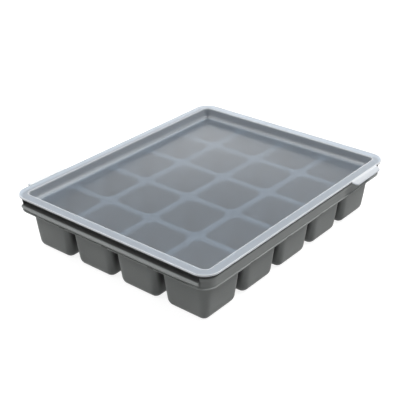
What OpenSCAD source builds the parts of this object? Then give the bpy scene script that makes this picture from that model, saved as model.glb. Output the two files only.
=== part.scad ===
// Freezer tray for baby food portions: a soft silicone tray of square cups,
// each with a floor that pushes up to free its cube, and a rigid plug-in lid.
// Lengths are in millimetres. The tray stands on z = 0, centred on the origin.
// X runs along the long side, Y along the short side.

/* [Cups] */
// Cups along the long side
cups_x = 5; // [3:1:7]
// Cups along the short side
cups_y = 4; // [2:1:6]
// Distance from one cup to the next
pitch = 36; // [32:0.5:44]
// Gap between the outsides of two cups, just below the deck
cup_gap = 0.8; // [0.4:0.1:3]
// Corner radius of a mouth
mouth_r = 5.4; // [4.6:0.1:8]
// Height of the deck above the table
cup_height = 29.5; // [22:0.5:40]
// Thickness of a cup's wall
wall_t = 1.9; // [1.2:0.1:3]
// How much each wall leans in from the deck to the base
wall_lean = 2.3; // [0.5:0.1:3]
// Thickness of a cup's floor
floor_t = 2; // [1.2:0.1:3]
// Corner radius left on the flat of a cup's base
base_corner_r = 0.3; // [0.1:0.1:1.5]
// Radius of the rounded edge at a mouth
mouth_fillet = 1; // [0.4:0.1:1.1]

/* [Push floors] */
// Width of the fixed ring between the panel's gap and the cup's corner radius
base_ring_w = 1.5; // [1:0.1:4]
// Corner radius of the floor panel that pushes up
push_r = 3; // [1.5:0.1:5]
// Gap round that panel
push_gap = 0.3; // [0.2:0.05:0.6]
// How far the panel's underside lies above the table
base_recess = 0.3; // [0.1:0.1:0.8]

/* [Deck and rim] */
// Thickness of the deck between the cups
deck_t = 1.8; // [1.2:0.1:3]
// Height of the rim wall above the deck
rim_rise = 7.1; // [4:0.1:14]
// Thickness of the rim wall
rim_t = 3.6; // [2.6:0.1:6]
// Inner corner radius of the well that the lid's sheet forms
well_in_r = 4; // [1:0.5:10]

/* [Grip lips] */
// Distance from each end of a lip to the tray's long side
lip_from_side = 6; // [4:0.5:30]
// How far a lip stands out from the rim wall along its middle
lip_out = 2.3; // [1.5:0.1:8]
// How far it still stands out at its two ends
lip_end_out = 0.9; // [0.4:0.1:2.2]
// Length over which each end of a lip narrows
lip_taper = 17; // [5:0.5:28]
// Thickness of a lip
lip_t = 2.8; // [1.5:0.1:3]
// How far a lip's underside lies above the deck
lip_rise = 0.6; // [0:0.1:1]
// Depth of the finger slot cut into the rim wall above a lip
slot_depth = 2; // [0.5:0.1:2.2]

/* [Lid] */
// Thickness of the lid's sheet
lid_t = 1.2; // [0.8:0.1:2]
// Gap between the lid's well and the rim wall
lid_fit = 0.3; // [0.15:0.05:0.8]
// Gap between the lid's panel and the deck
panel_gap = 0.3; // [0.2:0.05:1]
// Gap between the lid's flange and the top of the rim wall
seat_gap = 0.2; // [0.1:0.05:0.5]
// How far the lid's flange stands out over the rim wall
flange_over = 1.4; // [0.5:0.1:4]

/* [Pull tabs] */
// Length of a tab along the side
tab_len = 31; // [20:1:50]
// How far a tab stands out from the flange
tab_out = 4.5; // [3:0.5:12]
// How far a tab's tip droops
tab_drop = 1.2; // [0:0.1:3]
// Distance from a tab to the start of the lid's rounded corner
tab_inset = 5; // [0:0.5:20]
// Corner radius of a tab
tab_r = 3; // [1:0.5:4]

/* [Hidden] */
// Cup sizes, measured from a cup's axis
top_half = (pitch - cup_gap) / 2;
mouth_half = top_half - wall_t;
base_half = top_half - wall_lean;
corner_c = mouth_half - mouth_r;
flat_half = corner_c + base_corner_r;
base_fillet = base_half - flat_half;
inner_fillet = base_fillet - min(wall_t, floor_t);
lean = atan(wall_lean / (cup_height - base_fillet));
push_half = corner_c - base_ring_w - push_gap;

// Half sizes of the outlines round the whole tray, as [x, y]
field = [cups_x * pitch / 2, cups_y * pitch / 2];
well_out = [field.x + lid_t, field.y + lid_t];
rim_in = [well_out.x + lid_fit, well_out.y + lid_fit];
rim_out = [rim_in.x + rim_t, rim_in.y + rim_t];
lid_out = [rim_out.x + flange_over, rim_out.y + flange_over];
lip_half_len = rim_out.y - lip_from_side;

// Corner radii of the same outlines
well_out_r = well_in_r + lid_t;
rim_in_r = well_out_r + lid_fit;
rim_corner_r = rim_in_r + rim_t;
lid_corner_r = rim_corner_r + flange_over;

// Heights above the table
deck_z = cup_height;
ledge_z = deck_z - deck_t;
rim_top_z = deck_z + rim_rise;
panel_z = deck_z + panel_gap;
flange_z = rim_top_z + seat_gap;
lip_z = deck_z + lip_rise;

// Small overlap that keeps a cut from ending on a face
cut = 1;
// Steps in each rounded edge
arc_steps = 5;
$fn = 48;

silicone = [0.40, 0.41, 0.40];
silicone_floor = [0.45, 0.46, 0.45];
frosted = [0.80, 0.82, 0.86, 0.55];

function cup_name(col, row) = str("cup_", chr(97 + row), col + 1);
function floor_name(col, row) = str("push_floor_", chr(97 + row), col + 1);
function all_names(kind) = [
    for (row = [0 : cups_y - 1])
        for (col = [0 : cups_x - 1])
            kind == "cup" ? cup_name(col, row) : floor_name(col, row)
];

// Points on an arc round a centre, from one angle to another
function arc(centre, r, from, to) = [
    for (i = [0 : arc_steps])
        let (a = from + (to - from) * i / arc_steps)
            [centre.x + r * cos(a), centre.y + r * sin(a)]
];

// A rounded rectangle given by its half sizes
module rounded_rect(half, r) {
    square([2 * half.x, 2 * (half.y - r)], center = true);
    square([2 * (half.x - r), 2 * half.y], center = true);
    for (sx = [-1, 1])
        for (sy = [-1, 1])
            translate([sx * (half.x - r), sy * (half.y - r)])
                circle(r);
}

// A flat ring between two rounded rectangles
module ring(outer, outer_r, inner, inner_r, height) {
    difference() {
        linear_extrude(height)
            rounded_rect(outer, outer_r);
        translate([0, 0, -cut])
            linear_extrude(height + 2 * cut)
                rounded_rect(inner, inner_r);
    }
}

// Puts its children at the place of one cup
module at_cup(col, row) {
    translate([(col - (cups_x - 1) / 2) * pitch, (row - (cups_y - 1) / 2) * pitch, 0])
        children();
}

// Section through a cup's wall and the edge of its floor: x runs outwards
// from the centre of the corner radius, y runs up from the table.
module wall_section() {
    outer_fillet_c = [flat_half - corner_c, base_fillet];
    inner_fillet_c = [flat_half - corner_c, floor_t + inner_fillet];
    mouth_c = [mouth_half + mouth_fillet - corner_c, deck_z - mouth_fillet];
    polygon(concat(
        [[0, 0]],
        arc(outer_fillet_c, base_fillet, -90, -lean),
        [[top_half - corner_c, deck_z]],
        arc(mouth_c, mouth_fillet, 90, 180 - lean),
        arc(inner_fillet_c, inner_fillet, -lean, -90),
        [[0, floor_t]]
    ));
}

// Wall section carried round a rounded square
module cup_shell() {
    for (quarter = [0 : 3])
        rotate([0, 0, 90 * quarter]) {
            translate([corner_c, corner_c, 0])
                rotate_extrude(angle = 90)
                    wall_section();
            translate([corner_c, corner_c, 0])
                rotate([90, 0, 0])
                    linear_extrude(2 * corner_c)
                        wall_section();
        }
}

// The fixed ring of a cup's floor, which the cup stands on
module base_ring() {
    hole = push_half + push_gap;
    difference() {
        translate([-corner_c, -corner_c, 0])
            cube([2 * corner_c, 2 * corner_c, floor_t]);
        translate([0, 0, -cut])
            linear_extrude(floor_t + 2 * cut)
                rounded_rect([hole, hole], push_r + push_gap);
    }
}

// A cup's square share of the deck
module deck_share() {
    hole = mouth_half + (wall_t + mouth_fillet) / 2;
    translate([0, 0, ledge_z])
        difference() {
            translate([-pitch / 2, -pitch / 2, 0])
                cube([pitch, pitch, deck_t]);
            translate([0, 0, -cut])
                linear_extrude(deck_t + 2 * cut)
                    rounded_rect([hole, hole], hole - corner_c);
        }
}

module cup(col, row) {
    color(silicone)
        at_cup(col, row)
            union() {
                cup_shell();
                base_ring();
                deck_share();
            }
}

// Floor panel that a thumb pushes up to free the frozen cube
module push_floor(col, row) {
    color(silicone_floor)
        at_cup(col, row)
            translate([0, 0, base_recess])
                linear_extrude(floor_t - base_recess)
                    rounded_rect([push_half, push_half], push_r);
}

// Ledge and raised wall round the field of cups
module rim_wall() {
    slot_x = rim_out.x - slot_depth;
    slot_z = lip_z + lip_t;
    color(silicone)
        difference() {
            translate([0, 0, ledge_z])
                linear_extrude(rim_top_z - ledge_z)
                    rounded_rect(rim_out, rim_corner_r);
            translate([0, 0, deck_z])
                linear_extrude(rim_rise + cut)
                    rounded_rect(rim_in, rim_in_r);
            translate([-field.x, -field.y, ledge_z - cut])
                cube([2 * field.x, 2 * field.y, deck_t + 2 * cut]);
            for (side = [0, 180])
                rotate([0, 0, side])
                    translate([slot_x, -lip_half_len, slot_z])
                        cube([slot_depth + cut, 2 * lip_half_len, rim_top_z - slot_z + cut]);
        }
}

// Lip under the finger slot on the right short side. Its round nose narrows
// towards both ends, and its root follows the rim wall's rounded corners.
module grip_lip() {
    nose_r = lip_t / 2;
    root_x = rim_out.x - rim_corner_r;
    taper_y = lip_half_len - lip_taper;
    end_y = lip_half_len - lip_end_out;
    color(silicone)
        translate([0, 0, lip_z])
            intersection() {
                translate([root_x, lip_half_len, 0])
                    rotate([90, 0, 0])
                        linear_extrude(2 * lip_half_len) {
                            square([rim_corner_r + lip_out - nose_r, lip_t]);
                            translate([rim_corner_r + lip_out - nose_r, nose_r])
                                circle(nose_r);
                        }
                linear_extrude(lip_t)
                    difference() {
                        translate([rim_out.x, 0])
                            polygon([
                                [-rim_corner_r, -lip_half_len],
                                [0, -lip_half_len],
                                [lip_end_out, -end_y],
                                [lip_out, -taper_y],
                                [lip_out, taper_y],
                                [lip_end_out, end_y],
                                [0, lip_half_len],
                                [-rim_corner_r, lip_half_len]
                            ]);
                        rounded_rect(rim_out, rim_corner_r);
                    }
            }
}

module grip_lip_right() {
    grip_lip();
}

module grip_lip_left() {
    rotate([0, 0, 180])
        grip_lip();
}

// Flat panel at the bottom of the lid's well
module lid_panel() {
    color(frosted)
        translate([0, 0, panel_z])
            linear_extrude(lid_t)
                rounded_rect(well_out, well_out_r);
}

// Upright wall of the lid's well, which plugs into the rim wall
module lid_well_wall() {
    wall_z = panel_z + lid_t;
    color(frosted)
        translate([0, 0, wall_z])
            ring(well_out, well_out_r, field, well_in_r, flange_z - wall_z);
}

// Flat flange that rests on the rim wall
module lid_flange() {
    color(frosted)
        translate([0, 0, flange_z])
            ring(lid_out, lid_corner_r, field, well_in_r, lid_t);
}

// Drooping tongue on the front long side, near the right corner
module lid_tab() {
    near_x = lid_out.x - lid_corner_r - tab_inset - tab_len;
    color(frosted)
        translate([near_x, -lid_out.y, flange_z])
            intersection() {
                rotate([90, 0, 90])
                    linear_extrude(tab_len)
                        polygon([
                            [0, 0],
                            [0, lid_t],
                            [-tab_out, lid_t - tab_drop],
                            [-tab_out, -tab_drop]
                        ]);
                translate([0, 0, -tab_drop - cut])
                    linear_extrude(tab_drop + lid_t + 2 * cut)
                        intersection() {
                            translate([tab_len / 2, 0])
                                rounded_rect([tab_len / 2, tab_out], tab_r);
                            translate([0, -tab_out])
                                square([tab_len, tab_out]);
                        }
            }
}

module lid_tab_front() {
    lid_tab();
}

module lid_tab_back() {
    rotate([0, 0, 180])
        lid_tab();
}

for (row = [0 : cups_y - 1])
    for (col = [0 : cups_x - 1]) {
        cup(col, row);
        push_floor(col, row);
    }
rim_wall();
grip_lip_left();
grip_lip_right();
lid_panel();
lid_well_wall();
lid_flange();
lid_tab_front();
lid_tab_back();
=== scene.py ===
"""Looks of the freezer tray: smooth silicone cups and rim, and a frosted plug-in lid.

Lengths in the tables below are in millimetres, as in the part's source, and
every mesh is put into metres when it is made.
"""
import math

import bpy
import numpy as np
from mathutils import Matrix, Vector


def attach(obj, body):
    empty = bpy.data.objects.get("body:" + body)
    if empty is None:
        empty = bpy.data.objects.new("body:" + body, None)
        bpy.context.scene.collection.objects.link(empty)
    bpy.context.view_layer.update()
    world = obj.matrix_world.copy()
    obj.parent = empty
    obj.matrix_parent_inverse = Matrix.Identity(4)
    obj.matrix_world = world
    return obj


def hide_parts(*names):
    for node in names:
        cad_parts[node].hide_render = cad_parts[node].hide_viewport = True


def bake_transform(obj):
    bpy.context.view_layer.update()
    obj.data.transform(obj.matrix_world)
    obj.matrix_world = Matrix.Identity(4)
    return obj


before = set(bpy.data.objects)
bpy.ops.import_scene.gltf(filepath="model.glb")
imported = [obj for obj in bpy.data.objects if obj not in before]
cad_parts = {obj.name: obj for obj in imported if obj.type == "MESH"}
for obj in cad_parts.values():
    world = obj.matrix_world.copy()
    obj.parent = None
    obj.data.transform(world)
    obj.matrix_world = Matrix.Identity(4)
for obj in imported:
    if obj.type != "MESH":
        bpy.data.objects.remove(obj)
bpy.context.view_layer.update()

MM = 0.001
COLUMNS, ROWS, PITCH = 5, 4, 36.0
FIELD = (90.0, 72.0)          # half size of the field of cups
CORNER = 10.3                 # distance of a cup's corner centre from its axis
LEAN = 5.3                    # lean of a cup's wall, in degrees
DECK_R = 0.02                 # corner radius of a cup's square share of the deck
SQUARER_FROM = 15.3           # half width past which a cup's outside corners get squarer
WELL_R = 4.0                  # inner corner radius of the lid's well
SHEET_R = 0.6                 # least corner radius anywhere in the lid's panel
RIM_R = 9.1                   # outer corner radius of the rim wall
SLOT_BACK = 2.7               # distance of a finger slot's back outside the field
SLOT_END = 71.08              # half length of a finger slot
DECK, LEDGE, RIM_TOP = 29.5, 27.7, 36.6   # heights above the table
PLATE_HALF, PLATE_R = 10.2, 2.0   # outline of the soft middle of a cup's floor
DOME_TOP, DOME_UNDER = 0.5, 0.3   # how far that middle stands off flat
SKIN = 0.04                   # thickness of each side of the soft middle
TAB_END, TAB_DROOP = 3.0, 1.4     # length of a tab's rounded end, and power of its droop
CREASE = 38                   # edges sharper than this many degrees stay sharp


# ---------------------------------------------------------------- shapes

def loop_columns(side_x, side_y, corner):
    """Columns shared by all the loops of one skin, once round a rounded rectangle.

    Each column has the place of its corner centre, as shares (-1 to 1) of the
    straight half sides, and the angle of its outward normal. Side columns keep
    the side's normal and run along it; corner columns turn through 90 degrees.
    """
    one_x, one_y, one_c = (np.ones_like(a) for a in (side_x, side_y, corner))
    share_x = np.concatenate([one_y, one_c, -side_x, -one_c, -one_y, -one_c, side_x, one_c])
    share_y = np.concatenate([side_y, one_c, one_x, one_c, -side_y, -one_c, -one_x, -one_c])
    turn = np.concatenate([
        0 * side_y, corner, 0 * side_x + 90, 90 + corner,
        0 * side_y + 180, 180 + corner, 0 * side_x + 270, 270 + corner])
    return share_x, share_y, np.radians(turn)


def rounded_loops(half_x, half_y, radius, columns, push=0.0):
    """One rounded rectangle per profile point: corner centre plus radius along the normal.

    half_x, half_y and radius hold one value per profile point. push, one value
    or a grid of them, moves each point along its own normal.
    """
    share_x, share_y, turn = columns
    half_x, half_y, radius = (np.asarray(a, float)[:, None] for a in (half_x, half_y, radius))
    reach = radius + push
    return (share_x * (half_x - radius) + reach * np.cos(turn),
            share_y * (half_y - radius) + reach * np.sin(turn))


def arc(centre, radius, start, stop, steps):
    """Points (distance out, height) on a circle's arc between two angles in degrees."""
    a = np.radians(np.linspace(start, stop, steps + 1))
    return np.stack([centre[0] + radius * np.cos(a), centre[1] + radius * np.sin(a)], 1)


def skin(name, x, y, z, capped, finish):
    """A closed mesh from a grid: rows are loops along the profile, columns run round them.

    The last column joins the first. An uncapped grid also joins its last row to
    the first; a capped one ends in a flat face at both ends. The sum of the
    signed volumes of the faces' cones tells which way they point, and they are
    turned outwards if it is negative.
    """
    rows, cols = x.shape
    points = np.stack([x, y, np.broadcast_to(z, x.shape)], -1).reshape(-1, 3) * MM
    index = np.arange(rows * cols).reshape(rows, cols)
    this, after = (index[:-1], index[1:]) if capped else (index, np.roll(index, -1, 0))
    quads = np.stack([this, np.roll(this, -1, 1), np.roll(after, -1, 1), after], -1).reshape(-1, 4)
    a, b, c, d = (points[quads[:, k]] for k in range(4))
    volume = np.einsum("ij,ij", a, np.cross(b, c)) + np.einsum("ij,ij", a, np.cross(c, d))
    faces = quads.tolist()
    if capped:
        for ring in (index[0][::-1], index[-1]):
            faces.append(ring.tolist())
            p = points[ring]
            first = np.broadcast_to(p[0], p[1:-1].shape)
            volume += np.einsum("ij,ij", first, np.cross(p[1:-1], p[2:]))
    if volume < 0:
        faces = [f[::-1] for f in faces]
    mesh = bpy.data.meshes.new(name)
    mesh.from_pydata(points.tolist(), [], faces)
    mesh.polygons.foreach_set("use_smooth", np.ones(len(mesh.polygons), bool))
    mesh.set_sharp_from_angle(angle=math.radians(CREASE))
    mesh.materials.append(finish)
    mesh.update()
    piece = bpy.data.objects.new(name, mesh)
    bpy.context.scene.collection.objects.link(piece)
    return piece


def cup_skin(name, centre, finish):
    """One cup with its share of the deck: a closed section carried round a rounded square.

    The section runs from the middle's edge out over the foot, round the base
    fillet, up the leaning wall, under and over the deck, round the mouth's edge,
    down inside, round the inner fillet and back to the middle's edge. The base
    fillet is an arc made a little taller and narrower.
    """
    wall = np.concatenate([
        [[10.6, 0.0]],
        arc((10.6, 4.7), 4.7, -90, -LEAN, 10)[1:] * (0.99, 1.2) + (0.1, 0),
        [[16.2, 14.0], [17.1, 24.0], [17.38, 27.1], [17.55, 27.6]],
        [[17.8, LEDGE]],
    ])
    inside = np.concatenate([
        arc((16.7, DECK - 1.0), 1.0, 90, 180 - LEAN, 6),
        [[15.0, 20.0], [14.1, 10.5]],
        arc((10.6, 4.8), 2.8, -LEAN, -90, 7),
    ])
    deck_half = PITCH / 2
    half = np.concatenate(
        [[PLATE_HALF], wall[:, 0], [deck_half, deck_half], inside[:, 0], [PLATE_HALF]])
    z = np.concatenate([[0], wall[:, 1], [LEDGE, DECK], inside[:, 1], [2.0]])
    radius = half - CORNER
    outside = np.arange(len(half)) <= len(wall)
    radius[outside] -= 0.55 * np.clip(half[outside] - SQUARER_FROM, 0, None)
    radius[[0, -1]] = PLATE_R
    radius[half == deck_half] = DECK_R
    side = np.linspace(-1, 1, 9)[1:-1]
    columns = loop_columns(side, side, np.linspace(0, 90, 10))
    x, y = rounded_loops(half, half, radius, columns)
    return skin(name, x + centre[0], y + centre[1], z[:, None], False, finish)


def floor_middle(name, centre, edge_z, dome, down, finish):
    """One side of the soft middle of a cup's floor: a low dome over a rounded square.

    Its height falls from the middle to the edge as (1 - s cubed) squared, with s
    the share of the way out. A second sheet close under it closes the piece.
    """
    way_out = np.linspace(0.05, 1, 16)
    s = np.concatenate([way_out, way_out[::-1]])
    rise = dome * (1 - s ** 3) ** 2
    z = edge_z + rise + np.repeat([0, down], len(way_out))
    side = np.linspace(-1, 1, 7)[1:-1]
    columns = loop_columns(side, side, np.linspace(0, 90, 6))
    x, y = rounded_loops(PLATE_HALF * s, PLATE_HALF * s, PLATE_R * s, columns)
    return skin(name, x + centre[0], y + centre[1], z[:, None], True, finish)


def rim_skin(name, finish):
    """Ledge, rim wall, finger slots and grip lips: one closed section carried round the tray.

    On the short sides the section's outside is pushed out for the lip, by a
    width that narrows towards both ends, and pushed in above it for the slot.
    Past the straight part the lip also makes up for what the corner's curve
    falls behind the side's plane.
    """
    corner = np.array([
        0, 5, 10, 14, 17, 19.5, 19.9, 24, 30, 37.5, 45, 52.5, 60, 66, 70.1, 72, 76, 80, 85, 90.0])
    side = np.concatenate([
        np.linspace(-0.98, -0.74, 8), np.linspace(-0.7, 0.7, 15), np.linspace(0.74, 0.98, 8)])
    columns = loop_columns(side, side, corner)
    _, share_y, turn = columns
    straight = FIELD[1] - WELL_R
    along = np.abs(share_y * straight + RIM_R * np.sin(turn))
    short = np.abs(np.cos(turn)) > 0.8
    in_slot = np.where(short & (along < SLOT_END), 1.0, 0.0)
    past_straight = np.clip(along - straight, 0, None)
    behind = RIM_R - np.sqrt(np.clip(RIM_R ** 2 - past_straight ** 2, 0, None))
    lip = in_slot * (np.interp(along, [54.1, 70.2, 71.1], [2.78, 1.5, 1.2]) + behind)

    nose = np.radians(np.linspace(-90, 90, 9))
    # each row: distance out from the field, height, share of the lip, share of the slot
    rows = np.concatenate([
        [[0, LEDGE, 0, 0], [2.5, LEDGE, 0, 0], [3.9, 27.4, 0, 0]],
        np.c_[arc((4.6, 27.65), 0.5, -90, 90, 8), np.zeros((9, 2))],
        [[4.6, 28.5, 0, 0], [4.6, 29.4, 0, 0]],
        np.c_[np.full(9, 4.6), 31.1 + 1.2 * np.sin(nose), 0.3 + 0.7 * np.cos(nose), np.zeros(9)],
        [[4.65, 32.4, 0.1, 0.55], [4.7, 32.6, 0, 0.9], [4.8, 32.8, 0, 1], [5.0, 34.4, 0, 1]],
        [[4.95, 34.7, 0, 1], [4.6, 35.0, 0, 1], [4.5, 36.3, 0, 1], [4.4, 36.5, 0, 1]],
        [[4.2, RIM_TOP, 0, 0.9]],
        [[2.0, RIM_TOP, 0, 0], [1.6, 36.4, 0, 0], [1.5, 36.0, 0, 0]],
        [[1.5, 30.3, 0, 0], [1.42, 29.8, 0, 0], [1.0, DECK, 0, 0], [0, DECK, 0, 0]],
    ])
    out, z, lip_share, slot_share = rows.T
    radius = np.interp(out, [0, 1.0, RIM_R - WELL_R], [DECK_R, 1.0 + WELL_R, RIM_R])
    push = lip_share[:, None] * lip - (out[:, None] - SLOT_BACK) * slot_share[:, None] * in_slot
    x, y = rounded_loops(FIELD[0] + out, FIELD[1] + out, radius, columns, push)
    return skin(name, x, y, z[:, None], False, finish)


def lid_skin(name, finish):
    """Panel, well and flange: one sheet's section carried round the lid.

    From the panel's top it runs round the foot of the well, up its wall, over
    the flange, round its edge, back under the flange, down the outside of the
    well and under the panel.
    """
    section = np.concatenate([
        [[-30, 31.0], [-6, 31.0], [-2.9, 31.0]],
        arc((-2.5, 33.5), 2.5, -90, 0, 9),
        [[0.0, 35.5]],
        arc((0.8, 37.2), 0.8, 180, 90, 6),
        [[1.6, 38.0], [5.7, 38.0]],
        arc((6.05, 37.55), 0.45, 90, 0, 5),
        arc((6.15, 37.15), 0.35, 0, -90, 4),
        [[1.6, 36.8], [1.28, 36.7], [1.2, 36.4]],
        arc((-1.3, 32.3), 2.5, 0, -90, 8),
        [[-6, 29.8], [-30, 29.8]],
    ])
    out, z = section.T
    side_x, side_y = np.linspace(-1, 1, 31)[1:-1], np.linspace(-1, 1, 25)[1:-1]
    columns = loop_columns(side_x, side_y, np.linspace(0, 90, 15))
    radius = np.clip(WELL_R + out, SHEET_R, None)
    x, y = rounded_loops(FIELD[0] + out, FIELD[1] + out, radius, columns)
    return skin(name, x, y, z[:, None], True, finish)


def tab_skin(name, sign, finish):
    """A pull tab: a stadium-shaped section carried outwards along a drooping line.

    Its half length shrinks along a quarter circle over the last 3 mm, and its
    thickness along another over the last half millimetre.
    """
    length, out, droop, thick = 15.5, 4.48, 1.2, 1.1   # length is from the tab's middle
    tab_x, edge_y, top_z = 65.5, 78.5, 37.4
    d = out * np.concatenate([[0, 0.1, 0.25, 0.4], np.sin(np.radians(np.linspace(30, 90, 14)))])
    in_end = np.clip(d - out + TAB_END, 0, None)
    half = length - TAB_END + np.sqrt(np.clip(TAB_END ** 2 - in_end ** 2, 0.01, None))
    close = np.sqrt(np.clip(1 - (np.clip(d - out + 0.5, 0, None) / 0.5) ** 2, 0.02, None))
    line_z = top_z - droop * (d / out) ** TAB_DROOP
    slope = np.arctan(droop * TAB_DROOP * (d / out) ** (TAB_DROOP - 1) / out)
    columns = loop_columns(np.linspace(-1, 1, 13)[1:-1], np.array([]), np.linspace(0, 90, 5))
    thin = thick / 2 * close
    x, lift = rounded_loops(half, thin, thin * 0.98, columns)
    y = -edge_y - d[:, None] - lift * np.sin(slope)[:, None] * 0.5
    z = line_z[:, None] + lift * np.cos(slope)[:, None]
    return skin(name, sign * (x + tab_x), sign * y, z, True, finish)


# ---------------------------------------------------------------- finishes

GREY_LOW, GREY_HIGH = (0.200, 0.212, 0.208, 1), (0.228, 0.240, 0.236, 1)
# colours of the painted highlight and the painted shade on the silicone
HIGHLIGHT_GREY = (0.36, 0.378, 0.373, 1)
GAP_DARK, SLOT_DARK = (0.012, 0.012, 0.012, 1), (0.062, 0.061, 0.057, 1)
PANEL_TINT, LAMP_TINT = (0.60, 0.712, 0.835, 1), (0.68, 0.715, 0.76, 1)
# milk colours of the lid; the lightest is the painted highlight on the flange's edges
WALL_MILK, FLANGE_MILK, HIGHLIGHT_MILK = (
    (0.74, 0.77, 0.80, 1), (0.47, 0.515, 0.565, 1), (0.80, 0.82, 0.84, 1))
PAPER, SHOWN_PAPER = (0.45, 0.45, 0.45, 1), (0.28, 0.28, 0.28, 1)
NEAR_WHITE, FAR_WHITE = (0.88, 0.88, 0.88, 1), (1, 1, 1, 1)


class Wire:
    """An output socket in a material's nodes. Arithmetic on it adds Math nodes."""

    def __init__(self, tree, socket=None):
        self.tree, self.socket = tree, socket

    def node(self, kind, settings=None, inputs=None, out=0):
        """Adds one node: sets its settings first, then its sockets' values or links."""
        made = self.tree.nodes.new(kind)
        for key, value in (settings or {}).items():
            setattr(made, key, value)
        for key, value in (inputs or {}).items():
            if isinstance(value, Wire):
                self.tree.links.new(value.socket, made.inputs[key])
            else:
                made.inputs[key].default_value = value
        return Wire(self.tree, made.outputs[out] if made.outputs else None)

    def math(self, operation, *values, clamp=False):
        """A Math node on numbers or wires."""
        return self.node("ShaderNodeMath", {"operation": operation, "use_clamp": clamp},
                         dict(enumerate(values)))

    def __add__(self, other): return self.math("ADD", self, other)
    def __radd__(self, other): return self.math("ADD", other, self)
    def __sub__(self, other): return self.math("SUBTRACT", self, other)
    def __mul__(self, other): return self.math("MULTIPLY", self, other)
    def __rmul__(self, other): return self.math("MULTIPLY", other, self)

    def ramp(self, low, high, to_low=0.0, to_high=1.0):
        """This value, stretched from low..high to to_low..to_high and held at the ends."""
        return self.node("ShaderNodeMapRange", {"interpolation_type": "SMOOTHSTEP"},
                         {"Value": self, "From Min": low, "From Max": high,
                          "To Min": to_low, "To Max": to_high})

    def mix(self, colour_a, colour_b):
        """A colour between two, by this value."""
        return self.node("ShaderNodeMix", {"data_type": "RGBA"},
                         {"Factor": self, 6: colour_a, 7: colour_b}, out=2)


def new_finish(name):
    """An empty material, and the wire that adds its nodes."""
    finish = bpy.data.materials.new(name)
    finish.use_nodes = True
    finish.node_tree.nodes.clear()
    return finish, Wire(finish.node_tree)


def noise(wire, where, scale, detail):
    """Cloudy noise from 0 to 1."""
    return wire.node("ShaderNodeTexNoise", {}, {"Vector": where, "Scale": scale, "Detail": detail})


def along_axis(wire, where, axis):
    """A point's place in mm along x, y or z, which are axis 0, 1 and 2."""
    return 1000 * wire.node("ShaderNodeSeparateXYZ", {}, {"Vector": where}, out=axis)


def aside(wire, where, axis):
    """A point's distance in mm from the middle along one axis."""
    return wire.math("ABSOLUTE", along_axis(wire, where, axis))


def silicone_finish():
    """Matt grey silicone: clouded colour, powdery grain, soft sheen, painted shade in recesses and
    painted highlights on edges.
    """
    finish, wire = new_finish("grey_silicone")
    where = wire.node("ShaderNodeTexCoord", out="Object")
    cloud = noise(wire, where, 28, 4)
    grain = noise(wire, where, 2600, 2)
    peel = noise(wire, where, 420, 2)
    colour = cloud.ramp(0.3, 0.7).mix(GREY_LOW, GREY_HIGH)
    # painted highlight on the ledge's rounded edge and on the lips' noses
    colour = painted_edge_highlight(wire, where).mix(colour, HIGHLIGHT_GREY)
    # painted shade deep between the cups and under the ledge
    colour = gap_shade(wire, where).mix(colour, GAP_DARK)
    # painted shade in the finger slots and on the rim under the lid's flange
    colour = slot_shade(wire, where).mix(colour, SLOT_DARK)
    bump = wire.node("ShaderNodeBump", {}, {
        "Height": grain * 0.35 + peel * 0.65, "Strength": 0.25, "Distance": 0.00008})
    body = wire.node("ShaderNodeBsdfPrincipled", {}, {
        "Base Color": colour, "Roughness": grain.ramp(0.3, 0.7, 0.50, 0.60),
        "Normal": bump, "Specular IOR Level": 0.4,
        "Sheen Weight": 0.10, "Sheen Roughness": 0.5})
    wire.node("ShaderNodeOutputMaterial", {}, {"Surface": body})
    return finish


def apart(wire, where, axis, count):
    """Distance in mm from the nearest plane between two cups along one axis.

    Over the outer half of the last cup a large distance is added, because no
    cup follows it.
    """
    shift = 0 if count % 2 == 0 else PITCH / 2
    wave = wire.math("PINGPONG", along_axis(wire, where, axis) + (shift + 10 * PITCH), PITCH / 2)
    low, high = PITCH * (count / 2 - 0.6), PITCH * (count / 2 - 0.4)
    return wave + aside(wire, where, axis).ramp(low, high, 0, 30)


def gap_shade(wire, where):
    """Share of the painted shade on walls that face each other between cups, and under the ledge.
    """
    z = along_axis(wire, where, 2)
    near = wire.math("MINIMUM", apart(wire, where, 0, COLUMNS), apart(wire, where, 1, ROWS))
    under_ledge = 0.22 * z.ramp(22.5, 27.2) * distance_out(wire, where).ramp(-2.0, -1.5)
    below_deck = z.ramp(27.4, 28.2, 1, 0)
    return wire.math("MAXIMUM", near.ramp(1.5, 3.6, 1, 0), under_ledge) * below_deck


def painted_edge_highlight(wire, where):
    """Share of the painted highlight, a lighter tone on the ledge's rounded edge and on the noses
    of the lips.
    """
    low = along_axis(wire, where, 2).ramp(28.2, 28.4, 1, 0)
    ledge = 0.8 * low * distance_out(wire, where).ramp(3.6, 4.2)
    lip = aside(wire, where, 0).ramp(95.3, 95.8)
    return wire.math("MAXIMUM", ledge, lip)


def slot_shade(wire, where):
    """Share of the painted shade deep in the finger slots, and on the rim just under the flange.

    A slot is high on the short sides, between its ends and behind the rim's face.
    """
    x, y, z = aside(wire, where, 0), aside(wire, where, 1), along_axis(wire, where, 2)
    slot = x.ramp(92.2, 92.5) * x.ramp(95.4, 96.4, 1, 0)
    slot = slot * y.ramp(70.8, 71.2, 1, 0) * z.ramp(31.9, 32.4)
    under_flange = 0.8 * z.ramp(34.3, 34.8) * distance_out(wire, where).ramp(3.8, 4.2)
    return wire.math("MAXIMUM", slot, under_flange)


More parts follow.
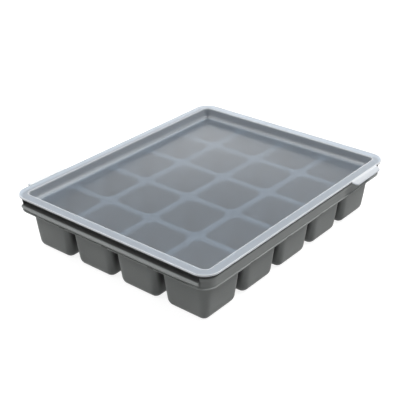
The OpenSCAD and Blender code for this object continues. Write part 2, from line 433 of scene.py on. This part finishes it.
def distance_out(wire, where):
    """Distance in mm outside the field of cups, less than 0 over it.

    It is the distance from a rounded rectangle with the well's corner radius.
    """
    flat = wire.node("ShaderNodeVectorMath", {"operation": "MULTIPLY"},
                     {0: where, 1: (1000, 1000, 0)})
    mirrored = wire.node("ShaderNodeVectorMath", {"operation": "ABSOLUTE"}, {0: flat})
    past = wire.node("ShaderNodeVectorMath", {"operation": "SUBTRACT"}, {
        0: mirrored, 1: (FIELD[0] - WELL_R, FIELD[1] - WELL_R, 0)})
    corner = wire.node("ShaderNodeVectorMath", {"operation": "MAXIMUM"}, {0: past, 1: (0, 0, 0)})
    reach = wire.node("ShaderNodeVectorMath", {"operation": "LENGTH"}, {0: corner}, out="Value")
    along_x = wire.node("ShaderNodeSeparateXYZ", {}, {"Vector": past}, out=0)
    along_y = wire.node("ShaderNodeSeparateXYZ", {}, {"Vector": past}, out=1)
    inside = wire.math("MINIMUM", wire.math("MAXIMUM", along_x, along_y), 0.0)
    return reach + inside - WELL_R


def frosted_finish():
    """Frosted plastic: it blurs what is behind it, its walls and edges are milky, and its edges
    carry a painted highlight in a lighter milk colour.

    The lamps shine through the panel as through a tinted pane, and through the
    walls and flange by a quarter as much.
    """
    finish, wire = new_finish("frosted_plastic")
    where = wire.node("ShaderNodeTexCoord", out="Object")
    height = along_axis(wire, where, 2)
    out = distance_out(wire, where)
    cloud = noise(wire, where, 22, 3)
    foot = out.ramp(-3.6, -2.2) * height.ramp(31.3, 31.9, 1, 0)
    flange = height.ramp(36.2, 37.3)
    wall = height.ramp(31.3, 32.0) * height.ramp(36.2, 37.3, 1, 0)
    # painted highlights in a lighter milk on the flange's inner and outer rounded edges
    inner_edge_highlight = 0.8 * height.ramp(36.6, 37.1) * out.ramp(0.6, 1.5, 1, 0)
    outer_edge_highlight = out.ramp(5.7, 6.2) * out.ramp(7.2, 8.0, 1, 0.75)
    milk_colour = flange.mix(WALL_MILK, FLANGE_MILK)
    milk_colour = wire.math("MAXIMUM", inner_edge_highlight, outer_edge_highlight).mix(milk_colour, HIGHLIGHT_MILK)
    clear = wire.node("ShaderNodeBsdfPrincipled", {}, {
        "Base Color": PANEL_TINT, "Roughness": 0.28,
        "IOR": 1.14, "Transmission Weight": 1.0,
        "Coat Weight": 1.0, "Coat Roughness": 0.2, "Coat IOR": 1.5})
    milk = wire.node("ShaderNodeBsdfPrincipled", {}, {
        "Base Color": milk_colour, "Roughness": 0.4, "IOR": 1.47, "Specular IOR Level": 0.3})
    share = (0.06 + foot * 0.30 + wall * 0.34 + flange * 0.47
             + outer_edge_highlight * 0.26 + cloud * 0.02)
    body = wire.node("ShaderNodeMixShader", {}, {0: share, 1: clear, 2: milk})
    lamp_ray = wire.node("ShaderNodeLightPath", out="Is Shadow Ray")
    passed = wire.node("ShaderNodeBsdfTransparent", {}, {"Color": LAMP_TINT})
    body = wire.node("ShaderNodeMixShader", {}, {
        0: lamp_ray * height.ramp(31.2, 33.0, 1, 0.25), 1: body, 2: passed})
    wire.node("ShaderNodeOutputMaterial", {}, {"Surface": body})
    return finish


def floor_finish():
    """White floor and backdrop, plain paper to the light and white to whoever looks.

    Seen straight, in gloss or through the lid, the floor still takes the tray's
    shadow, and turns pure white far from it.
    """
    finish, wire = new_finish("white_floor")
    seen = 0.0
    for ray in ("Is Camera Ray", "Is Glossy Ray", "Is Transmission Ray"):
        seen = wire.math("ADD", wire.node("ShaderNodeLightPath", out=ray), seen, clamp=True)
    paper = wire.node("ShaderNodeBsdfDiffuse", {}, {"Color": PAPER})
    shown = wire.node("ShaderNodeBsdfDiffuse", {}, {"Color": SHOWN_PAPER})
    where = wire.node("ShaderNodeTexCoord", out="Object")
    reach = wire.node("ShaderNodeVectorMath", {"operation": "LENGTH"}, {0: where}, out="Value")
    white = reach.ramp(0.5, 1.5).mix(NEAR_WHITE, FAR_WHITE)
    glow = wire.node("ShaderNodeEmission", {}, {"Color": white, "Strength": 1.0})
    lit = wire.node("ShaderNodeAddShader", {}, {0: shown, 1: glow})
    body = wire.node("ShaderNodeMixShader", {}, {0: seen, 1: paper, 2: lit})
    wire.node("ShaderNodeOutputMaterial", {}, {"Surface": body})
    return finish


# ---------------------------------------------------------------- the object

silicone = silicone_finish()
frosted = frosted_finish()

for row in range(ROWS):
    for column in range(COLUMNS):
        place = f"{'abcd'[row]}{column + 1}"
        centre = ((column - 2) * PITCH, (row - 1.5) * PITCH)
        cup = cup_skin(f"cup_skin_{place}", centre, silicone)
        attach(cup, "tray")
        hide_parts(f"cup_{place}")
        upper = floor_middle(f"floor_top_{place}", centre, 2.0, DOME_TOP, -SKIN, silicone)
        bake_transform(upper)
        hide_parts(f"push_floor_{place}")
        lower = floor_middle(f"floor_under_{place}", centre, 0.0, DOME_UNDER, SKIN, silicone)
        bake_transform(lower)
        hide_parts(f"push_floor_{place}")

rim = rim_skin("rim_skin", silicone)
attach(rim, "tray")
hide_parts("rim_wall", "grip_lip_left", "grip_lip_right")

lid = lid_skin("lid_skin", frosted)
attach(lid, "lid")
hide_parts("lid_panel", "lid_well_wall", "lid_flange")
for name, sign in (("lid_tab_front", 1), ("lid_tab_back", -1)):
    tab = tab_skin(f"{name}_skin", sign, frosted)
    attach(tab, "lid")
    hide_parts(name)


# ---------------------------------------------------------------- the studio

def softbox(name, place, aim, width, height, power):
    """A rectangular lamp at a place, turned towards a point: metres and watts."""
    data = bpy.data.lights.new(name, "AREA")
    data.shape, data.size, data.size_y = "RECTANGLE", width, height
    data.energy = power
    lamp = bpy.data.objects.new(name, data)
    lamp.location = place
    lamp.visible_transmission = False
    lamp.rotation_euler = (Vector(aim) - Vector(place)).to_track_quat("-Z", "Y").to_euler()
    bpy.context.scene.collection.objects.link(lamp)


BACKDROP_R, BACKDROP_HEIGHT = 5.9, 1.4   # metres
bpy.ops.mesh.primitive_plane_add(size=12, location=(0, 0, 0))
ground = bpy.context.object
ground.name = "floor"
bpy.ops.mesh.primitive_cylinder_add(
    vertices=128, radius=BACKDROP_R, depth=BACKDROP_HEIGHT, end_fill_type="NOTHING",
    location=(0, 0, BACKDROP_HEIGHT / 2))
backdrop = bpy.context.object
backdrop.name = "backdrop"
white_paper = floor_finish()
for stage in (ground, backdrop):
    stage.data.materials.append(white_paper)

softbox("top_light", (0.30, 0.34, 1.05), (0, 0, 0.03), 1.2, 1.2, 7.5)
softbox("left_light", (-0.72, 0.52, 1.15), (0, 0, 0.02), 0.7, 0.7, 9.6)
softbox("right_light", (0.55, -0.72, 1.20), (0, 0, 0.02), 0.7, 0.7, 15.3)
softbox("back_light", (1.15, 0.95, 0.40), (0, 0, 0.03), 2.2, 0.60, 7.0)

world = bpy.data.worlds.new("studio")
bpy.context.scene.world = world
world.use_nodes = True
sky = world.node_tree.nodes["Background"]
sky.inputs["Color"].default_value = (1, 1, 1, 1)
sky.inputs["Strength"].default_value = 0.05

# The camera of the photograph, fitted to the tray's own lines. It looks at a point
# on the deck, and its aim and distance are multiples of the distance between cups.
AZIMUTH, ELEVATION, ROLL = (math.radians(a) for a in (-50.65, 27.98, -0.34))
AIM, DISTANCE = (-0.482, -0.241, 0), 15.714
FOCAL = 890.8 / 400           # focal length as a share of the picture's width
back = Vector((math.sin(AZIMUTH) * math.cos(ELEVATION),
               -math.cos(AZIMUTH) * math.cos(ELEVATION), math.sin(ELEVATION)))
right = Vector((math.cos(AZIMUTH), math.sin(AZIMUTH), 0))
up = back.cross(right)
across = right * math.cos(ROLL) + up * math.sin(ROLL)
upward = up * math.cos(ROLL) - right * math.sin(ROLL)
stand = (Vector(AIM) + DISTANCE * back) * PITCH * MM + Vector((0, 0, DECK * MM))
lens = bpy.data.cameras.new("camera")
lens.lens = FOCAL * lens.sensor_width
lens.clip_start, lens.clip_end = 0.01, 50
camera = bpy.data.objects.new("camera", lens)
camera.matrix_world = Matrix((
    (across.x, upward.x, back.x, stand.x),
    (across.y, upward.y, back.y, stand.y),
    (across.z, upward.z, back.z, stand.z),
    (0, 0, 0, 1)))
bpy.context.scene.collection.objects.link(camera)
bpy.context.scene.camera = camera
bpy.context.scene.view_settings.view_transform = "Standard"
